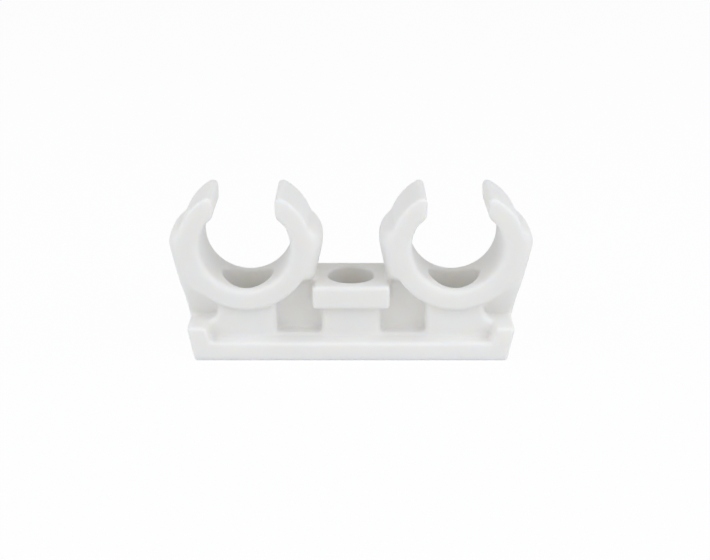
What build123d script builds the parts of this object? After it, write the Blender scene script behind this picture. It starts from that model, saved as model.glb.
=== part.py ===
from build123d import *

import os

# Double pipe clip, moulded in one piece, in millimetres. X runs along the clip, Y along the pipes and
# Z away from the wall. The origin is the middle of the underside, which lies on the wall.

# Pipe seats: two open rings that the pipes snap into
pipe_diameter = 20.0
ring_wall = 4.9
ring_depth = 15.6
ring_gap = 17.0
ring_chamfer = 0.35
lip_overlap = 3.25
lip_rise = 1.35
tip_flat = 0.25
tip_round = 1.2
mouth_flare = 1.4
flare_fade_radius = 6.0

# Base bar with its up-turned end flanges
base_depth = 20.0
base_thickness = 4.45
flange_rise = 3.55
flange_width = 4.35
flange_foot = 0.9
end_flare = 1.5
base_round = 0.7

# Web along the middle, with a gusset on each side of each ring
web_thickness = 5.0
gusset_overhang = 2.2
gusset_round = 5.3
gusset_foot_inset = 1.5
web_chamfer = 0.4

# Screw holes, with the saddles and the neck that stand round them
screw_shank_diameter = 5.0
screw_seat_diameter = 9.2
screw_seat_height = 6.0
ring_hole_diameter = 11.3
plate_hole_diameter = 10.6
pillar_side_wall = 2.0
pillar_face_wall = 1.5
saddle_height = 6.85
pocket_sill = 0.5
shoulder_round = 3.0
foot_round = 1.1
pillar_chamfer = 0.8

# Screw plate on the neck
plate_width = 17.4
plate_depth = 16.2
plate_thickness = 5.5
neck_height = 7.15
plate_chamfer = 0.5

pipe_radius = pipe_diameter / 2
ring_radius = pipe_radius + ring_wall
half_pitch = ring_radius + ring_gap / 2
axis_height = base_thickness + saddle_height + ring_radius
ring_floor = axis_height - pipe_radius
seat_centres = [(-half_pitch, axis_height), (half_pitch, axis_height)]
seat_axes = [(-half_pitch, 0, axis_height), (half_pitch, 0, axis_height)]

flange_top = base_thickness + flange_rise
end_top = half_pitch + ring_radius - gusset_foot_inset
end_bottom = end_top - end_flare
flange_inner = end_top - flange_width
ledge_end = flange_inner - flange_foot

seat_radius = screw_seat_diameter / 2
pillar_width = screw_seat_diameter + 2 * pillar_side_wall
pillar_depth = screw_seat_diameter + 2 * pillar_face_wall
saddle_top = ring_floor - ring_wall / 2
plate_bottom = base_thickness + neck_height
plate_top = plate_bottom + plate_thickness
neck_top = plate_top - 2 * plate_chamfer

standing = (Align.CENTER, Align.MIN)
standing_solid = (Align.CENTER, Align.CENTER, Align.MIN)


def front_and_back(part, above):
    """The edges of a part's front and back faces whose middle is higher than the given height."""
    faces = part.faces().group_by(Axis.Y)
    edges = faces[0].edges() + faces[-1].edges()
    return edges.filter_by(lambda edge: edge.center().Z > above)


# Base bar: a flat bar whose ends turn up into flanges that lean outwards and are thicker at the foot.
with BuildPart() as base_bar:
    with BuildSketch(Plane.XZ):
        with BuildLine():
            Polyline(
                (-end_bottom, 0),
                (end_bottom, 0),
                (end_top, flange_top),
                (-end_top, flange_top),
                close=True,
            )
        make_face()
        with BuildLine():
            Polyline(
                (-ledge_end, base_thickness),
                (ledge_end, base_thickness),
                (flange_inner, flange_top),
                (-flange_inner, flange_top),
                close=True,
            )
        make_face(mode=Mode.SUBTRACT)
    extrude(amount=base_depth / 2, both=True)
    fillet(front_and_back(base_bar.part, base_round), base_round)

# Saddles and neck: pillars round the screw holes, with a low sill between them and a shoulder from each
# saddle to its flange.
with BuildPart() as pillars:
    shoulder_width = end_bottom - half_pitch
    shoulder_middle = half_pitch + shoulder_width / 2
    with BuildSketch(Plane.XZ) as pillar_profile:
        Rectangle(2 * end_bottom, base_thickness + pocket_sill, align=standing)
        Rectangle(pillar_width, neck_top, align=standing)
        with Locations((-half_pitch, 0), (half_pitch, 0)):
            Rectangle(pillar_width, saddle_top, align=standing)
        with Locations((-shoulder_middle, 0), (shoulder_middle, 0)):
            Rectangle(shoulder_width, flange_top, align=standing)
        fillet(pillar_profile.vertices().group_by(Axis.Y)[2].sort_by(Axis.X)[1:-1], shoulder_round)
        fillet(pillar_profile.vertices().group_by(Axis.Y)[1], foot_round)
    extrude(amount=pillar_depth / 2, both=True)
    chamfer(front_and_back(pillars.part, pillar_chamfer), pillar_chamfer)

# Web: a trapezium behind each ring, whose upper corners are rounded gussets at the pipe's height, and a
# wall that joins the two. It ends inside the rings.
with BuildPart() as gussets:
    with BuildSketch(Plane.XZ):
        with BuildLine():
            foot_half = ring_radius - gusset_foot_inset
            foot_drop = flange_top - axis_height
            gusset_centre = ring_radius + gusset_overhang - gusset_round
            Line((-foot_half, foot_drop), (foot_half, foot_drop))
            CenterArc((-gusset_centre, 0), gusset_round, 0, 360)
            CenterArc((gusset_centre, 0), gusset_round, 0, 360)
        make_hull()
    extrude(amount=web_thickness / 2, both=True)
    chamfer(front_and_back(gussets.part, foot_drop + web_chamfer), web_chamfer)

with BuildPart() as web:
    with Locations(*seat_axes):
        add(gussets.part)
    with BuildSketch(Plane.XZ):
        Rectangle(2 * half_pitch, neck_top, align=standing)
    extrude(amount=web_thickness / 2, both=True)
    with BuildSketch(Plane.XZ):
        with Locations(*seat_centres):
            Circle(ring_radius - ring_wall / 2)
    extrude(amount=web_thickness / 2, both=True, mode=Mode.SUBTRACT)

# Rings: the lower half is round, and each arm's outer side curves in more tightly, so that the arm thins
# towards its tip. The lips stand upright on each side of the mouth.
with BuildSketch() as ring_profile:
    lip_half = pipe_radius - lip_overlap
    tip_height = pipe_radius + lip_rise
    with BuildLine():
        lower_half = CenterArc((0, 0), ring_radius, -90, 90)
        arm_end = (lip_half + tip_round + tip_flat, tip_height)
        arm = TangentArc(lower_half @ 1, arm_end, tangent=lower_half % 1)
        Polyline(arm_end, (lip_half, tip_height), (lip_half, 0), (0, 0))
        mirror(about=Plane.YZ)
    make_face()
    Circle(pipe_radius, mode=Mode.SUBTRACT)
    fillet(ring_profile.vertices().group_by(Axis.Y)[-1].sort_by(Axis.X)[1:-1], tip_round)

with BuildPart() as rings:
    with BuildSketch(Plane.XZ):
        with Locations(*seat_centres):
            add(ring_profile.sketch)
    extrude(amount=ring_depth / 2, both=True)
    chamfer(front_and_back(rings.part, 0), ring_chamfer)

# Screw plate: a block on the neck.
with BuildPart() as plate:
    with BuildSketch(Plane.XY.offset(plate_bottom)):
        Rectangle(plate_width, plate_depth)
    extrude(amount=plate_thickness)
    chamfer(plate.edges(), plate_chamfer)

# Flare at each end of a pipe seat: a rounded edge that turns on a smaller radius above the pipe's axis, so
# that it runs out before the lips.
with BuildSketch() as flare_section:
    with BuildLine():
        flare_start = (pipe_radius, mouth_flare - ring_depth / 2)
        flare_end = (pipe_radius + mouth_flare, -ring_depth / 2)
        RadiusArc(flare_start, flare_end, -mouth_flare)
        Polyline(flare_end, (pipe_radius - mouth_flare, -ring_depth / 2), flare_start)
    make_face()

with BuildPart() as flare:
    fade_centre = pipe_radius + mouth_flare - flare_fade_radius
    revolve(flare_section.sketch, axis=Axis.Y, revolution_arc=90)
    revolve(flare_section.sketch, axis=Axis((fade_centre, 0, 0), (0, -1, 0)), revolution_arc=90)
    mirror(about=Plane.YZ)
    mirror(about=Plane.XZ)

# The clip: everything in one moulding, then the flares and the screw holes, which narrow to a flat seat.
with BuildPart() as double_pipe_clip:
    add(base_bar.part)
    add(pillars.part)
    add(web.part)
    add(rings.part)
    add(plate.part)
    with Locations(*seat_axes):
        add(flare.part, mode=Mode.SUBTRACT)
    ring_hole_slope = (ring_hole_diameter / 2 - seat_radius) / (ring_floor - screw_seat_height)
    ring_hole_rise = axis_height - screw_seat_height
    with Locations((-half_pitch, 0, screw_seat_height), (half_pitch, 0, screw_seat_height)):
        Cone(
            seat_radius,
            seat_radius + ring_hole_slope * ring_hole_rise,
            ring_hole_rise,
            align=standing_solid,
            mode=Mode.SUBTRACT,
        )
    with Locations((0, 0, screw_seat_height)):
        Cone(
            seat_radius,
            plate_hole_diameter / 2,
            plate_top - screw_seat_height,
            align=standing_solid,
            mode=Mode.SUBTRACT,
        )
    with Locations((-half_pitch, 0), (0, 0), (half_pitch, 0)):
        Hole(screw_shank_diameter / 2)

os.makedirs("parts", exist_ok=True)
double_pipe_clip.part.label = "double_pipe_clip"
export_step(double_pipe_clip.part, "parts/double_pipe_clip.step")
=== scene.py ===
import math

import bpy
import numpy as np
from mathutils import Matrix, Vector


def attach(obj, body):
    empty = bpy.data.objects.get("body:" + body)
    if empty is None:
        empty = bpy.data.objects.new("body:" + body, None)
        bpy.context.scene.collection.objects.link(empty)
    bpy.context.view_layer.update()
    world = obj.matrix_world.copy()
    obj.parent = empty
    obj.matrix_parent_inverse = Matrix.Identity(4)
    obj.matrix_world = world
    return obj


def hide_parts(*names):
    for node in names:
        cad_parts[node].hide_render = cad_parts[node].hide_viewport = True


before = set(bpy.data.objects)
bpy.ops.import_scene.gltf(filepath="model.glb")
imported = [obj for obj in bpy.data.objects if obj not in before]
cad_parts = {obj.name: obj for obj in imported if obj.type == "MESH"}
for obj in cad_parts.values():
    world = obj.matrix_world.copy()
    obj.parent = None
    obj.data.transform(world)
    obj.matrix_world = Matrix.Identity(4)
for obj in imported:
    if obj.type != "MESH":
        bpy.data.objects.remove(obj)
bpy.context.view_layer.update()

# The clip is one injection moulding in white polypropylene: two spring rings on a base bar, a screw plate
# between them, and a rounded cheek between each ring and each of its gussets. Every edge is rounded a
# little, and each lip has a small bead on its inner corner, which the pipe snaps past.
half_pitch = 0.0234
axis_height = 0.0262
ring_half_depth = 0.0078
web_half_depth = 0.0025

cheek_root = 0.013
saddle_root = 0.0062
cheek_reach = 0.0171
cheek_crown = 0.0050
cheek_slope = 0.205
cheek_power = 3.5
outer_foot, outer_shoulder = 0.0083, 0.0170
inner_foot, inner_shoulder = 0.0160, 0.0195

bead_height = 0.00042
bead_start, bead_end = 27.0, 47.5
bead_root = 0.0115
bead_fade = 0.0014
arm_lean = 0.0004
arm_height = 0.0113

skin_step = 0.00038
edge_rounds = 6
corner_share = 0.2


def joined_surface(node):
    """Points and triangles of a CAD node. Points at one place are joined, and triangles with no area go."""
    mesh = node.data
    mesh.calc_loop_triangles()
    points = np.empty(3 * len(mesh.vertices))
    mesh.vertices.foreach_get("co", points)
    triangles = np.empty(3 * len(mesh.loop_triangles), np.int32)
    mesh.loop_triangles.foreach_get("vertices", triangles)
    rounded, joined = np.unique(np.round(points.reshape(-1, 3), 7), axis=0, return_inverse=True)
    triangles = joined.reshape(-1)[triangles].reshape(-1, 3)
    a, b, c = triangles.T
    return rounded, triangles[(a != b) & (b != c) & (c != a)]


def tube_triangles(levels, turns):
    """Triangles of a tube with closed ends, whose points lie in levels of so many turns: two to each cell of
    the grid, and a fan over the first and the last level."""
    here = np.arange(levels * turns).reshape(levels, turns)
    beside = np.roll(here, -1, axis=1)
    cells = [here[:-1], beside[:-1], beside[1:], here[:-1], beside[1:], here[1:]]
    fan = np.stack([np.zeros(turns - 2, int), np.arange(1, turns - 1), np.arange(2, turns)], axis=1)
    return np.concatenate([np.stack(cells, axis=2).reshape(-1, 3), fan[:, ::-1], here[-1][fan]])


def cheek(ring, side, foot, shoulder):
    """Points and triangles of a cheek, in levels from its foot to its crown. It starts inside the ring's wall,
    or lower down inside the saddle. Each level is half a superellipse: with u and v as shares of its width
    and of its half depth, u^n + v^n = 1. The half depth grows from the web's at the foot to the ring's at the
    shoulder, by the mean of a quarter sine wave and 3 t^2 - 2 t^3. The outer side is round above the axis and
    straight below it."""
    levels, turns = 60, 41
    level = foot + (axis_height + cheek_crown - foot) * np.sin(np.linspace(0, np.pi / 2, levels))[:, None]
    turn = np.linspace(-np.pi / 2, np.pi / 2, turns)
    rise = level - axis_height
    crown = cheek_reach - cheek_crown + np.sqrt(np.clip(cheek_crown**2 - rise**2, 0, None))
    outer = np.where(rise > 0, crown, cheek_reach + cheek_slope * rise)
    inner = np.maximum(np.sqrt(np.clip(cheek_root**2 - rise**2, 0, None)), saddle_root)
    t = np.clip((level - foot) / (shoulder - foot), 0, 1)
    growth = (np.sin(t * np.pi / 2) + t**2 * (3 - 2 * t)) / 2
    half_depth = web_half_depth + (ring_half_depth - web_half_depth) * growth
    x = ring * half_pitch + side * (inner + (outer - inner) * np.cos(turn) ** (2 / cheek_power))
    y = half_depth * np.sign(turn) * np.abs(np.sin(turn)) ** (2 / cheek_power)
    points = np.stack([x, y, np.broadcast_to(level, x.shape)], axis=2).reshape(-1, 3)
    return points, tube_triangles(levels, turns)


def together(bodies):
    """Closed bodies as one set of points and triangles."""
    points, triangles = zip(*bodies)
    starts = np.cumsum([0] + [len(part) for part in points[:-1]])
    return np.concatenate(points), np.concatenate([part + start for part, start in zip(triangles, starts)])


def new_piece(name, points, faces):
    """A new object at the origin with its place in its mesh, shaded smooth."""
    mesh = bpy.data.meshes.new(name)
    mesh.from_pydata(points, [], faces)
    mesh.polygons.foreach_set("use_smooth", np.ones(len(mesh.polygons), bool))
    piece = bpy.data.objects.new(name, mesh)
    bpy.context.scene.collection.objects.link(piece)
    return piece


def even_skin(points, faces):
    """One even skin over closed bodies, with quads about one step long: its points, normals and quads."""
    rough = new_piece("rough", points, faces)
    remesh = rough.modifiers.new("even", "REMESH")
    remesh.mode = "VOXEL"
    remesh.voxel_size = skin_step
    mesh = bpy.data.meshes.new_from_object(rough.evaluated_get(bpy.context.evaluated_depsgraph_get()))
    bpy.data.objects.remove(rough)
    skin = np.empty(3 * len(mesh.vertices))
    mesh.vertices.foreach_get("co", skin)
    normals = np.empty(3 * len(mesh.vertices))
    mesh.vertex_normals.foreach_get("vector", normals)
    quads = np.empty(len(mesh.loops), np.int32)
    mesh.loops.foreach_get("vertex_index", quads)
    return skin.reshape(-1, 3), normals.reshape(-1, 3), quads.reshape(-1, 4)


def with_lips(points):
    """The skin with a bead on each lip. Seen along the pipe, a point between the bead's two angles round its
    seat's axis moves towards the axis by the bead's height times 6.75 t^2 (1 - t), where t runs from 0 to 1
    between them. The move fades out with depth in the wall. The right ring's outer arm also leans inwards,
    by a share that grows with the square of its height."""
    x, y, z = points.T
    side = np.sign(x)
    across = np.abs(x) - half_pitch
    rise = z - axis_height
    reach = np.hypot(across, rise)
    angle = np.degrees(np.arctan2(rise, np.abs(across)))
    t = np.clip((angle - bead_start) / (bead_end - bead_start), 0, 1)
    depth = np.clip((bead_root - reach) / bead_fade, 0, 1)
    inward = bead_height * 6.75 * t**2 * (1 - t) * depth / np.maximum(reach, bead_fade)
    lean = arm_lean * (np.clip(rise, 0, None) / arm_height) ** 2 * (x > half_pitch)
    return np.stack([x - side * across * inward - lean, y, z - rise * inward], axis=1)


def rounded_edges(points, normals, quads):
    """The skin with its edges rounded off: each round takes every point halfway to the mean of its
    neighbours. Of a move out of the plastic, along the normal, only a share is kept, so that inner corners
    stay crisp."""
    ends = np.roll(quads, -1, axis=1)
    here = np.concatenate([quads.ravel(), ends.ravel()])
    there = np.concatenate([ends.ravel(), quads.ravel()])
    count = np.bincount(here)[:, None]
    smooth = points
    for _ in range(edge_rounds):
        sums = np.stack([np.bincount(here, smooth[there, axis]) for axis in range(3)], axis=1)
        smooth = (smooth + sums / count) / 2
    lift = np.sum((smooth - points) * normals, axis=1)
    return smooth - normals * np.clip(lift, 0, None)[:, None] * (1 - corner_share)


class Wire:
    """An output of a node tree. Arithmetic on it adds Math nodes, and node() adds any other node."""

    def __init__(self, tree, socket=None):
        self.tree = tree
        self.socket = socket

    def node(self, kind, settings, inputs, output=0):
        """Adds a node of that type, first its settings and then its inputs, which are values or wires."""
        made = self.tree.nodes.new(kind)
        for key, value in settings.items():
            setattr(made, key, value)
        for key, value in inputs.items():
            if isinstance(value, Wire):
                self.tree.links.new(value.socket, made.inputs[key])
            else:
                made.inputs[key].default_value = value
        return Wire(self.tree, made.outputs[output] if made.outputs else None)

    def __add__(self, other):
        return self.node("ShaderNodeMath", {"operation": "ADD"}, {0: self, 1: other})

    def __mul__(self, other):
        return self.node("ShaderNodeMath", {"operation": "MULTIPLY"}, {0: self, 1: other})

    __radd__ = __add__
    __rmul__ = __mul__


def new_material(name):
    """An empty material and the start of its nodes."""
    material = bpy.data.materials.new(name)
    material.use_nodes = True
    material.node_tree.nodes.clear()
    return material, Wire(material.node_tree)


darker_white = (0.833, 0.818, 0.783, 1.0)
lighter_white = (0.861, 0.848, 0.816, 1.0)
white_plastic, start = new_material("white_polypropylene")
place = start.node("ShaderNodeTexCoord", {}, {}, "Object")
cloud = place.node("ShaderNodeTexNoise", {}, {"Vector": place, "Scale": 90.0, "Detail": 3.0})
grain = place.node("ShaderNodeTexNoise", {}, {"Vector": place, "Scale": 2600.0, "Detail": 2.0})
ripple = place.node("ShaderNodeTexNoise", {}, {"Vector": place, "Scale": 220.0, "Detail": 1.0})
colour = place.node(
    "ShaderNodeMix",
    {"data_type": "RGBA"},
    {"Factor": cloud, 6: darker_white, 7: lighter_white},
    2,
)
height = grain * 0.25 + ripple
bump = place.node("ShaderNodeBump", {}, {"Strength": 0.12, "Distance": 0.0002, "Height": height})
surface = place.node(
    "ShaderNodeBsdfPrincipled",
    {},
    {
        "Base Color": colour,
        "Roughness": cloud * 0.16 + 0.42,
        "Normal": bump,
        "IOR": 1.49,
        "Subsurface Weight": 0.5,
        "Subsurface Radius": (1.0, 0.82, 0.55),
        "Subsurface Scale": 0.003,
    },
)
place.node("ShaderNodeOutputMaterial", {}, {"Surface": surface})

bodies = [joined_surface(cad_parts["double_pipe_clip"])]
for ring in (-1, 1):
    bodies.append(cheek(ring, ring, outer_foot, outer_shoulder))
    bodies.append(cheek(ring, -ring, inner_foot, inner_shoulder))
skin, normals, quads = even_skin(*together(bodies))
clip = new_piece("clip_moulding", rounded_edges(with_lips(skin), normals, quads), quads)
clip.data.materials.append(white_plastic)
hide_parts("double_pipe_clip")
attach(clip, "root")

# The floor is a plain white sheet, which the clip stands on. The camera sees it as white paper, with the
# clip's soft shadow on it.
white = (1.0, 1.0, 1.0)
paper_whiteness = 0.95
half_floor = 3.0


def seen_white(start):
    """1 for rays that see paper and room as white: the camera's, and those off gloss or through glass."""
    rays = ("Is Camera Ray", "Is Glossy Ray", "Is Transmission Ray")
    return sum(start.node("ShaderNodeLightPath", {}, {}, ray) for ray in rays)


paper, start = new_material("white_paper")
sheet = start.node("ShaderNodeBsdfDiffuse", {}, {"Color": (0.9, 0.9, 0.9, 1.0)})
glow = start.node("ShaderNodeEmission", {}, {"Color": (*white, 1.0), "Strength": 1.0})
look = start.node("ShaderNodeMixShader", {}, {0: seen_white(start) * paper_whiteness, 1: sheet, 2: glow})
start.node("ShaderNodeOutputMaterial", {}, {"Surface": look})
corners = np.array([(-1, -1, 0), (1, -1, 0), (1, 1, 0), (-1, 1, 0)]) * half_floor
floor = new_piece("floor", corners, [(0, 1, 2, 3)])
floor.data.materials.append(paper)

# The light is soft: a white room all round, cool diffusers above the clip and on each side of it, and a white
# diffuser in front.
daylight = (0.85, 0.9, 1.0)
room_strength = 0.44
clip_middle = Vector((0.0, 0.0, 0.018))
world = bpy.data.worlds.new("white_room")
world.use_nodes = True
world.node_tree.nodes.clear()
start = Wire(world.node_tree)
room = start.node("ShaderNodeBackground", {}, {"Color": (*white, 1.0), "Strength": room_strength})
backdrop = start.node("ShaderNodeBackground", {}, {"Color": (*white, 1.0), "Strength": 1.0})
mixed = start.node("ShaderNodeMixShader", {}, {0: seen_white(start), 1: room, 2: backdrop})
start.node("ShaderNodeOutputWorld", {}, {"Surface": mixed})
bpy.context.scene.world = world


def diffuser(name, place, width, height, watts, colour):
    """A rectangular lamp at that place that faces the middle of the clip."""
    lamp = bpy.data.lights.new(name, "AREA")
    lamp.shape = "RECTANGLE"
    lamp.size, lamp.size_y = width, height
    lamp.energy = watts
    lamp.color = colour
    holder = bpy.data.objects.new(name, lamp)
    holder.location = place
    holder.rotation_euler = (clip_middle - holder.location).to_track_quat("-Z", "Y").to_euler()
    bpy.context.scene.collection.objects.link(holder)


diffuser("left_diffuser", (-0.58, -0.24, 0.43), 0.8, 0.5, 2.1, daylight)
diffuser("right_diffuser", (0.58, -0.24, 0.43), 0.8, 0.5, 2.6, daylight)
diffuser("top_diffuser", (0.0, -0.32, 0.7), 0.5, 0.4, 0.45, daylight)
diffuser("front_diffuser", (0.0, -0.7, 0.27), 0.5, 0.4, 0.42, white)

# The camera stands in front of the clip, about 0.28 m away, and looks down on it by 21 degrees. Its shift
# sets the clip in the middle of the picture.
camera = bpy.data.cameras.new("camera")
camera.sensor_width = 36.0
camera.lens = 61.3
camera.shift_x = 0.0056
camera.shift_y = -0.0088
stand = bpy.data.objects.new("camera", camera)
stand.location = (0.0, -0.2571, 0.1159)
stand.rotation_euler = (math.radians(69.0), 0.0, 0.0)
bpy.context.scene.collection.objects.link(stand)
bpy.context.scene.camera = stand

bpy.context.scene.view_settings.view_transform = "Standard"
